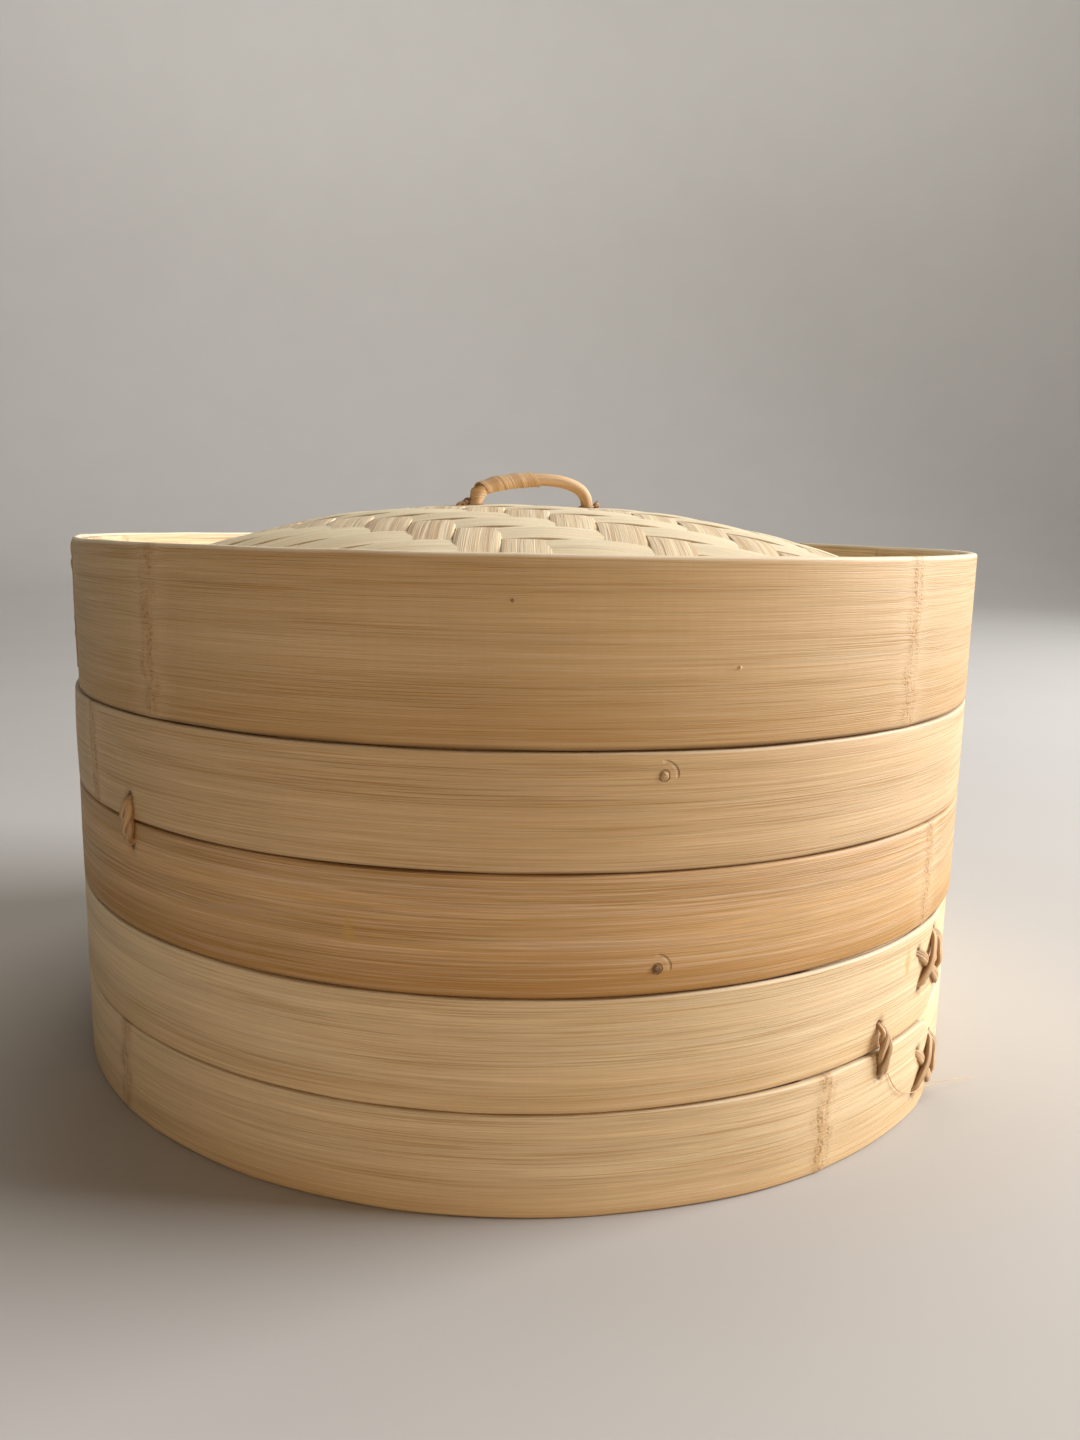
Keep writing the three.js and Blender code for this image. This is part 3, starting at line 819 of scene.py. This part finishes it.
def bamboo(name, pale, tan, streak, lines=0.5, contrast=1.0, low_tint=0.0, striped=0.0,
           chatter=0.006, edge_highlight=0.0, seam_shade=0.5):
    """Split bamboo: fine fibres along the strip with golden lines among them, a scar at each node,
    painted shadow in the seam at its lower edge, painted shade in and round its stitch holes, and a
    painted highlight where its rounded upper edge catches light from above. striped makes the strip's
    tone add broad dark stripes; the last two arguments set how pale that painted highlight is and how
    dark that painted seam shadow is."""
    s = Shader(name)
    grain = s.attribute("grain", "Vector")
    fibres = bent_fibres(s, grain)
    hair = s.cells(fibres, (24, 0.22, 0.8), roughness=0.6)
    thread = s.cells(fibres, (75, 0.75, 2.0), (3.1, 8.7, 1.2), roughness=0.6)
    bundle = s.cells(fibres, (160, 4.2, 5.0), (7.7, 2.9, 4.1))
    broad = s.cells(grain, (120, 12, 30), (1.3, 5.9, 9.2), detail=1.0)
    sanding = s.cells(grain, (1.5, 16, 30), (8.1, 0.4, 5.2), detail=1.0)
    golden = golden_lines(s, fibres, bundle, lines, striped)

    colour = s.mix(s.span(thread, 0.3, 0.7), pale, tan)
    colour = s.mix(s.span(broad, 0.6, 0.38, 0.0, 0.45), colour, tan)
    colour = s.shade(colour, s.span(hair, 0.25, 0.75, 1 - 0.22 * contrast, 1 + 0.13 * contrast))
    colour = s.shade(colour, s.span(bundle, 0.3, 0.7, 1 + 0.07 * contrast, 1 - 0.1 * contrast))
    colour = s.shade(colour, s.span(sanding, 0.25, 0.75, 1 - chatter, 1 + chatter))
    colour = s.mix(s.times(golden, GOLDEN_DEPTH), colour, streak)
    colour = edge_colours(s, colour, streak, thread, low_tint, seam_shade, edge_highlight)
    colour = amber_stains(s, colour, grain)
    colour, scar = node_scar(s, colour, grain)
    colour = hole_shade(s, colour, grain)
    colour, dent = nail_marks(s, colour)

    relief = s.times(hair, 0.6)
    for part, depth in ((thread, 0.5), (scar, -0.6), (golden, -0.25), (dent, -2.0)):
        relief = s.math("MULTIPLY_ADD", part, depth, relief)
    return s.finish(colour, s.span(hair, 0.2, 0.8, 0.47, 0.62), relief, 0.2 * MM)


def golden_lines(s, fibres, bundle, lines, striped):
    """Where the dark golden fibres are: in crowds, and in broad stripes where a strip is striped."""
    line = s.cells(fibres, (38, 0.3, 2.0), (5.5, 1.7, 3.3), detail=1.0, roughness=0.6)
    crowd = s.span(bundle, 0.36, 0.64, 0.2, 1.0)
    golden = s.times(s.span(line, 0.58 - 0.08 * lines, 0.66), crowd)
    if not striped:
        return golden
    band = s.cells(fibres, (150, 1.5, 4.0), (2.5, 6.2, 1.1))
    stripes = s.times(s.span(band, 0.45, 0.6), s.attribute("tone"))
    return s.math("MAXIMUM", golden, s.times(stripes, striped))


def edge_colours(s, colour, streak, thread, low_tint, seam_shade, edge_highlight):
    """The darker tint near a strip's lower edge, the painted shadow in the seam along that edge, and the
    painted highlight on its rounded upper edge.
    """
    edge = s.attribute("edge")
    tint = s.times(s.span(edge, 0.5, 0.02), low_tint)
    tint = s.times(tint, s.span(thread, 0.25, 0.65, 0.45, 1.0))
    colour = s.mix(tint, colour, streak)
    # Painted shadow in the seam along the strip's lower edge
    colour = s.mix(s.span(edge, 0.030, 0.006, 0.0, seam_shade), colour, SEAM_SHADE)
    # Painted highlight where the rounded upper edge catches light from above
    return s.mix(s.span(edge, 0.972, 0.990, 0.0, edge_highlight), colour, EDGE_HIGHLIGHT)


def bent_fibres(s, grain):
    """The fibres' coordinates, which sway up and down close to a bamboo node."""
    near = s.span(s.attribute("knot"), 0.0, 12 * MM, 1.0, 0.0)
    sway = s.math("SUBTRACT", s.cells(grain, (9, 3.2, 9)), 0.5)
    rise = s.times(s.times(sway, near), 3.0 * MM)
    lift = s.node("ShaderNodeCombineXYZ", 0.0, rise, 0.0).outputs[0]
    return s.node("ShaderNodeVectorMath", grain, lift, operation="ADD").outputs[0]


def node_scar(s, colour, grain):
    """The wavy, broken scar that a bamboo node leaves across a strip, and its mask."""
    distance = s.attribute("knot")
    pits = s.cells(grain, (0.9, 0.75, 9), (0.7, 3.9, 2.6), detail=1.0)
    rows = s.cells(grain, (1.6, 7, 9), (4.2, 1.1, 7.3), detail=1.0)
    close = s.times(s.span(distance, 4.2 * MM, 0.8 * MM), s.span(rows, 0.38, 0.6, 0.35, 1.0))
    scar = s.times(s.span(pits, 0.5, 0.68), close)
    pale = s.span(distance, 10 * MM, 2 * MM, 0.0, 0.25)
    colour = s.mix(pale, colour, (0.8, 0.62, 0.38))
    colour = s.mix(s.times(close, 0.5), colour, (0.54, 0.31, 0.11))
    return s.mix(s.times(scar, 0.6), colour, (0.42, 0.22, 0.1)), scar


def hole_shade(s, colour, grain):
    """Painted shade in and close round a stitch hole, near black in the hole itself."""
    ragged = s.times(s.cells(grain, (1.4, 0.8, 9)), 1.1 * MM)
    away = s.math("ADD", s.attribute("hole"), ragged)
    colour = s.mix(s.span(away, 3.9 * MM, 1.4 * MM, 0.0, 0.4), colour, (0.3, 0.16, 0.06))
    return s.mix(s.span(away, 2.0 * MM, 1.5 * MM, 0.0, 0.8), colour, (0.08, 0.04, 0.02))


def nail_marks(s, colour):
    """A dark ring in the wood round a nail, and the arc that the hammer's edge left."""
    away = s.attribute("nail")
    ring = s.span(s.math("ABSOLUTE", s.math("SUBTRACT", away, 1.0 * MM)), 0.4 * MM, 0.1 * MM)
    blow = s.span(s.math("ABSOLUTE", s.math("SUBTRACT", away, 2.9 * MM)), 0.45 * MM, 0.1 * MM)
    blow = s.times(blow, s.span(s.attribute("blow"), 2.9 * MM, 1.6 * MM))
    colour = s.mix(s.times(blow, 0.35), colour, GOLD)
    return s.mix(s.times(ring, 0.5), colour, (0.26, 0.14, 0.06)), s.math("MAXIMUM", ring, blow)


def amber_stains(s, colour, grain):
    """Small amber stains with ragged outlines."""
    ragged = s.times(s.cells(grain, (1.6, 1.1, 9)), 2.4 * MM)
    away = s.math("ADD", s.attribute("stain"), ragged)
    return s.mix(s.span(away, 3.0 * MM, 1.7 * MM, 0.0, 0.65), colour, (0.66, 0.42, 0.12))


def cane(name, pale, mid, dark, gloss=0.45):
    """Split rattan: a lengthwise grain of pale, brown and near-black fibres, with painted shade along the
    strand's edges.
    """
    s = Shader(name)
    grain = s.attribute("grain", "Vector")
    fibre = s.cells(grain, (11, 0.34, 0.8), detail=3.0, roughness=0.6)
    patch = s.cells(grain, (9, 2.2, 3.0), (4.1, 0.8, 2.9))
    colour = s.mix(s.span(fibre, 0.24, 0.58), dark, mid)
    colour = s.mix(s.times(s.span(fibre, 0.5, 0.72), s.span(patch, 0.4, 0.62)), colour, pale)
    colour = s.mix(s.span(patch, 0.48, 0.3, 0.0, 0.55), colour, dark)
    edge = s.math("ABSOLUTE", s.math("SUBTRACT", s.attribute("edge"), 0.5))
    # Painted shade along the strand's edges
    colour = s.mix(s.span(edge, 0.36, 0.5, 0.0, 0.6), colour, dark)
    colour = s.shade(colour, s.span(s.attribute("tone"), 0.0, 1.0, 0.82, 1.18))
    return s.finish(colour, s.span(patch, 0.3, 0.7, 0.42, 0.62), fibre, 0.22 * MM, gloss)


def nail_wood(name, pale, dark):
    """The speckled end grain of a driven bamboo nail."""
    s = Shader(name)
    grain = s.attribute("grain", "Vector")
    spots = s.cells(grain, (0.5, 0.5, 0.5), detail=3.0, roughness=0.7)
    colour = s.mix(s.span(spots, 0.35, 0.65), dark, pale)
    return s.finish(colour, 0.6, spots, 0.15 * MM)


# The basket

PALE = (0.76, 0.565, 0.335)
TAN = (0.69, 0.48, 0.25)
GOLD = (0.52, 0.29, 0.085)
GOLDEN_DEPTH = 0.75
# Colour of the painted shadow in the seam below a band
SEAM_SHADE = (0.19, 0.1, 0.04)
# Colour of the painted highlight on a strip's rounded upper edge
EDGE_HIGHLIGHT = (0.92, 0.8, 0.6)

# Where things are on the walls, in degrees and millimetres before a body's turn and base. Pairs are
# for the lower and the upper band. A stitch has its four corners, and a knot is a bamboo node.
TIE_ANGLES = (-48, 132)
NAIL_ANGLE = -170
NAIL_SIZE = 0.7
TIERS = {
    "lower_tier": {
        "seed": 11, "bulges": (1.4, 0.5), "tongues": ((7.5, 9 * MM, 5 * MM), (7.5, 0, 2 * MM)),
        "knots": ((302.5, 221, 139, 58), (20, 120)), "seam": 23.55, "tie_span": 12.4, "nails": (5.6, 44),
        "stitches": (
            ((-39, 16.4), (-34.5, 18.2), (-39.5, 5.8), (-33.6, 3.9)),
            ((-39.8, 42.8), (-34.6, 45.6), (-39, 33), (-31.5, 29.5)),
        ),
        "extras": (
            [[(-34.5, 18.2), (-33.5, 15), (-33, 10.5), (-33.2, 6.5), (-33.6, 4.2)]],
            [[(-34.6, 45.6), (-33.3, 43), (-32.2, 39), (-31.8, 35), (-32.2, 31.5)]],
        ),
        "whiskers": ((
            (-46.6, 0.4, 17), (-45.4, 0.6, 13.2), (-43.6, 0.8, 9.8), (-41, 0.9, 7.4), (-38, 1.2, 5.8),
            (-34.5, 2, 4.4), (-31, 5, 2.8), (-28, 9, 1),
        ), ()),
        "stains": ([], [(-42.6, 42)]),
    },
    "upper_tier": {
        "seed": 211, "bulges": (0.5, 0.5), "tongues": ((7.5, 7 * MM, 5 * MM), (7.5, 0, 2 * MM)),
        "knots": ((228.6, 88.6, -40), (122.4, 262.4)), "seam": 26.25, "tie_span": 11.4,
        "nails": (5.6, 46.3),
        "stitches": (
            ((-39.5, 23.4), (-33, 23.6), (-39, 14.6), (-33.5, 14.4)),
            ((-39.4, 44.6), (-33.2, 45), (-39.2, 34), (-32.8, 33.6)),
        ),
        "extras": ((), ()), "whiskers": ((), ()), "stains": ([(-199, 12)], []),
    },
}
LID = {
    "seed": 411, "bulge": 0.4, "tongue": (7.5, 3 * MM, 3 * MM), "knots": (3, 86.3, 169.6, 252.9),
    "nails": ((63, 16.3), (42, 29.3)), "nail_size": 0.28, "strand": 0.5 * MM,
    "stitches": (
        ((-39, 16.6), (-34.2, 16.8), (-39.2, 10.2), (-33.8, 10)),
        ((-39, 36), (-34, 36.2), (-39.4, 29.6), (-33.4, 29.2)),
    ),
}


def in_metres(spots):
    return [(angle, height * MM) for angle, height in spots]


def tier_part(body, band_looks, hoop_look, slat_look, lash, nails):
    tier = TIERS[body]
    seed, seam, span = tier["seed"], tier["seam"], tier["tie_span"]
    for i, which in enumerate(("lower", "upper")):
        tie_height = seam + (i - 0.5) * span
        holes = in_metres([*tier["stitches"][i], *((angle, tie_height) for angle in TIE_ANGLES)])
        outer_band(
            f"{body}_{which}_band", body, band_looks[i], seed + i, tier["bulges"][i] * MM,
            tier["tongues"][i], tier["knots"][i], holes, in_metres([(NAIL_ANGLE, tier["nails"][i])]),
            in_metres(tier["stains"][i]),
        )
    hoop(f"{body}_inner_hoop", body, hoop_look, seed + 3, True, (340, 170, 260))
    hoop(f"{body}_ledge_hoop", body, hoop_look, seed + 4, False, (200, 400))
    for i in range(SLAT_COUNT):
        offset = (i - (SLAT_COUNT - 1) / 2) * SLAT_PITCH
        knot = 60 * MM * wave(i * 3.3, seed)
        add_slat(f"{body}_slat_{i + 1:02d}", body, slat_look, offset, seed + 20 + i, knot)
    for i, x in enumerate((-CROSSBAR_OFFSET, CROSSBAR_OFFSET)):
        add_crossbar(f"{body}_crossbar_{i + 1}", body, slat_look, x, seed + 40 + i)
    surfaces = [OUTER_RADIUS + bulge * MM for bulge in tier["bulges"]]
    for i, which in enumerate(("lower", "upper")):
        cross_stitch(
            f"{body}_lap_stitch_{which}", body, tier["stitches"][i], surfaces[i], seed + 50 + 10 * i,
            lash, tier["extras"][i], tier["whiskers"][i],
        )
    for i, angle in enumerate(TIE_ANGLES):
        surface = (surfaces[0], OUTER_RADIUS)[i]
        band_tie(f"{body}_band_tie_{i + 1}", body, angle, seam, span, surface, seed + 70 + 5 * i, lash)
    for i, height in enumerate(reversed(tier["nails"])):
        add_nail(f"{body}_pin_{i + 1}", body, NAIL_ANGLE, height, seed + 80 + i, nails[i], NAIL_SIZE)


def lid_part(band_look, hoop_look, weave_looks, lash, nails):
    seed = LID["seed"]
    surface = OUTER_RADIUS + LID["bulge"] * MM
    outer_band(
        "lid_outer_hoop", "lid", band_look, seed, LID["bulge"] * MM, LID["tongue"], LID["knots"],
        in_metres(sum(LID["stitches"], ())), rounding=RIM_ROUND,
    )
    hoop("lid_rim_hoop", "lid", hoop_look, seed + 1, True, (200, 310))
    hoop("lid_clamp_hoop", "lid", hoop_look, seed + 2, False, (250,))
    for i, which in enumerate(("lower", "upper")):
        cross_stitch(
            f"lid_lap_stitch_{which}", "lid", LID["stitches"][i], surface, seed + 5 + 10 * i, lash,
            thickness=LID["strand"],
        )
    for i, (angle, height) in enumerate(LID["nails"]):
        add_nail(f"lid_pin_{i + 1}", "lid", angle, height, seed + 30 + i, nails[i], LID["nail_size"])
    woven_layer("lid_outer_weave", "outer", weave_looks, seed)
    woven_layer("lid_inner_weave", "inner", weave_looks, seed + 400)


lash = cane("rattan_lashing", (0.88, 0.68, 0.42), (0.68, 0.45, 0.23), (0.27, 0.145, 0.06))
knot_look = cane("knot_cane", (0.66, 0.47, 0.3), (0.46, 0.29, 0.17), (0.22, 0.12, 0.07))
pale_nail = nail_wood("pale_nail_end", (0.74, 0.54, 0.31), (0.5, 0.31, 0.15))
dark_nail = nail_wood("dark_nail_end", (0.36, 0.22, 0.11), (0.11, 0.055, 0.025))
brown_nail = nail_wood("brown_nail_end", (0.46, 0.3, 0.16), (0.28, 0.16, 0.08))
light_nail = nail_wood("light_nail_end", (0.88, 0.75, 0.54), (0.74, 0.56, 0.35))
slat_look = bamboo("slat_bamboo", PALE, TAN, GOLD, lines=0.3)
hoop_look = bamboo("hoop_bamboo", (0.84, 0.66, 0.42), (0.7, 0.49, 0.26), GOLD, lines=0.2)
lower_look = bamboo(
    "lower_tier_bamboo", (0.92, 0.74, 0.47), (0.83, 0.62, 0.36), (0.62, 0.38, 0.14),
    lines=0.6, contrast=0.6, low_tint=0.35, edge_highlight=0.4, seam_shade=0.2,
)
upper_low = bamboo(
    "upper_tier_bamboo_low", (0.8, 0.57, 0.36), (0.68, 0.43, 0.18), (0.5, 0.26, 0.06),
    lines=1.2, contrast=1.2, low_tint=0.8, seam_shade=0.6,
)
upper_high = bamboo("upper_tier_bamboo_high", PALE, TAN, GOLD, lines=0.8, contrast=0.6, edge_highlight=0.5)
lid_look = bamboo(
    "lid_bamboo", (0.71, 0.52, 0.3), (0.64, 0.44, 0.22), GOLD,
    lines=1.0, contrast=0.5, low_tint=0.5, chatter=0.012, edge_highlight=0.8, seam_shade=0.75,
)
striped_look = bamboo(
    "weave_striped", (0.95, 0.82, 0.59), (0.84, 0.65, 0.4), (0.44, 0.25, 0.1), striped=0.8,
)
smooth_look = bamboo(
    "weave_smooth", (0.94, 0.82, 0.58), (0.88, 0.74, 0.49), (0.66, 0.46, 0.23),
    lines=0.2, contrast=0.5,
)
handle_look = cane("handle_cane", (0.86, 0.66, 0.42), (0.69, 0.47, 0.25), (0.48, 0.28, 0.12))

tier_part("lower_tier", (lower_look, lower_look), hoop_look, slat_look, lash, (pale_nail, dark_nail))
tier_part("upper_tier", (upper_low, upper_high), hoop_look, slat_look, lash, (pale_nail, dark_nail))
lid_part(lid_look, hoop_look, (striped_look, smooth_look), handle_look, (light_nail, brown_nail))
add_handle(handle_look, knot_look, slat_look)


# Studio

def backdrop_material():
    s = Shader("studio_paper")
    place = s.node("ShaderNodeTexCoord").outputs["Object"]
    mottle = s.cells(place, [1000 / 9] * 3)
    colour = s.mix(mottle, (0.54, 0.52, 0.49), (0.57, 0.55, 0.52))
    return s.finish(colour, 0.75, mottle, 0.1 * MM, 0.2)


def add_backdrop():
    """A pale floor, flat to some radius, that curves up into a wall all round."""
    flat, bend, wall = 2.1, 0.9, 3.6
    profile = [(0.0, 0.0), (0.5, 0.0), (1.0, 0.0)]
    for turn in np.radians(np.linspace(0, 90, 13)):
        profile.append((flat + bend * math.sin(turn), bend - bend * math.cos(turn)))
    profile.append((flat + bend, wall))
    sides = 96
    vertices, faces = [(0.0, 0.0, 0.0)], []
    for radius, height in profile[1:]:
        vertices += polar(np.arange(sides) * 360 / sides, radius, height).tolist()
    for i in range(sides):
        after = (i + 1) % sides
        faces.append((0, 1 + i, 1 + after))
        for low in range(1, 1 + (len(profile) - 2) * sides, sides):
            high = low + sides
            faces.append((low + i, high + i, high + after, low + after))
    mesh = bpy.data.meshes.new("backdrop")
    mesh.from_pydata(vertices, [], faces)
    mesh.polygons.foreach_set("use_smooth", [True] * len(faces))
    mesh.materials.append(backdrop_material())
    new_object("backdrop", mesh)


def add_light(name, place, target, size, watts, colour, spread=180):
    light = bpy.data.lights.new(name, "AREA")
    light.shape = "RECTANGLE"
    light.size, light.size_y = size
    light.energy = watts
    light.spread = math.radians(spread)
    light.color = colour
    lamp = new_object(name, light)
    lamp.location = place
    lamp.rotation_euler = (Vector(target) - Vector(place)).to_track_quat("-Z", "Y").to_euler()


def add_camera():
    """The viewpoint: just above the lid's rim, close in front."""
    place = (0, -344.2 * MM, 145.0 * MM)
    pitch, yaw, roll = 0.1733, 0.0158, 0.0194
    data = bpy.data.cameras.new("camera")
    data.sensor_width = 36
    data.lens = 28.33
    data.clip_start = 0.01
    camera = new_object("camera", data)
    look = Matrix.Rotation(-yaw, 4, "Z") @ Matrix.Rotation(math.pi / 2 - pitch, 4, "X")
    camera.matrix_world = Matrix.Translation(place) @ look @ Matrix.Rotation(roll, 4, "Z")
    bpy.context.scene.camera = camera


def add_studio():
    add_backdrop()
    add_light("key", (1.75, 0.2, 0.9), (0, 0, 0.08), (1.1, 1.1), 44, (0.98, 0.98, 1.0), 150)
    add_light("warm_fill", (0.5, -1.25, 0.3), (0, 0, 0.06), (0.9, 0.6), 3.4, (1.0, 0.58, 0.22))
    add_light("top", (0.1, 0.35, 1.35), (0, 0, 0.1), (0.6, 0.6), 5, (1.0, 0.97, 0.9))
    add_light("wall_wash", (0, 1.6, 1.8), (0, 3.0, 0.8), (2.2, 0.4), 20, (1.0, 0.99, 0.97))
    world = bpy.data.worlds.new("studio")
    world.use_nodes = True
    background = world.node_tree.nodes["Background"]
    background.inputs["Color"].default_value = (0.86, 0.87, 0.9, 1)
    background.inputs["Strength"].default_value = 0.05
    bpy.context.scene.world = world
    bpy.context.scene.view_settings.view_transform = "Standard"


add_studio()
add_camera()
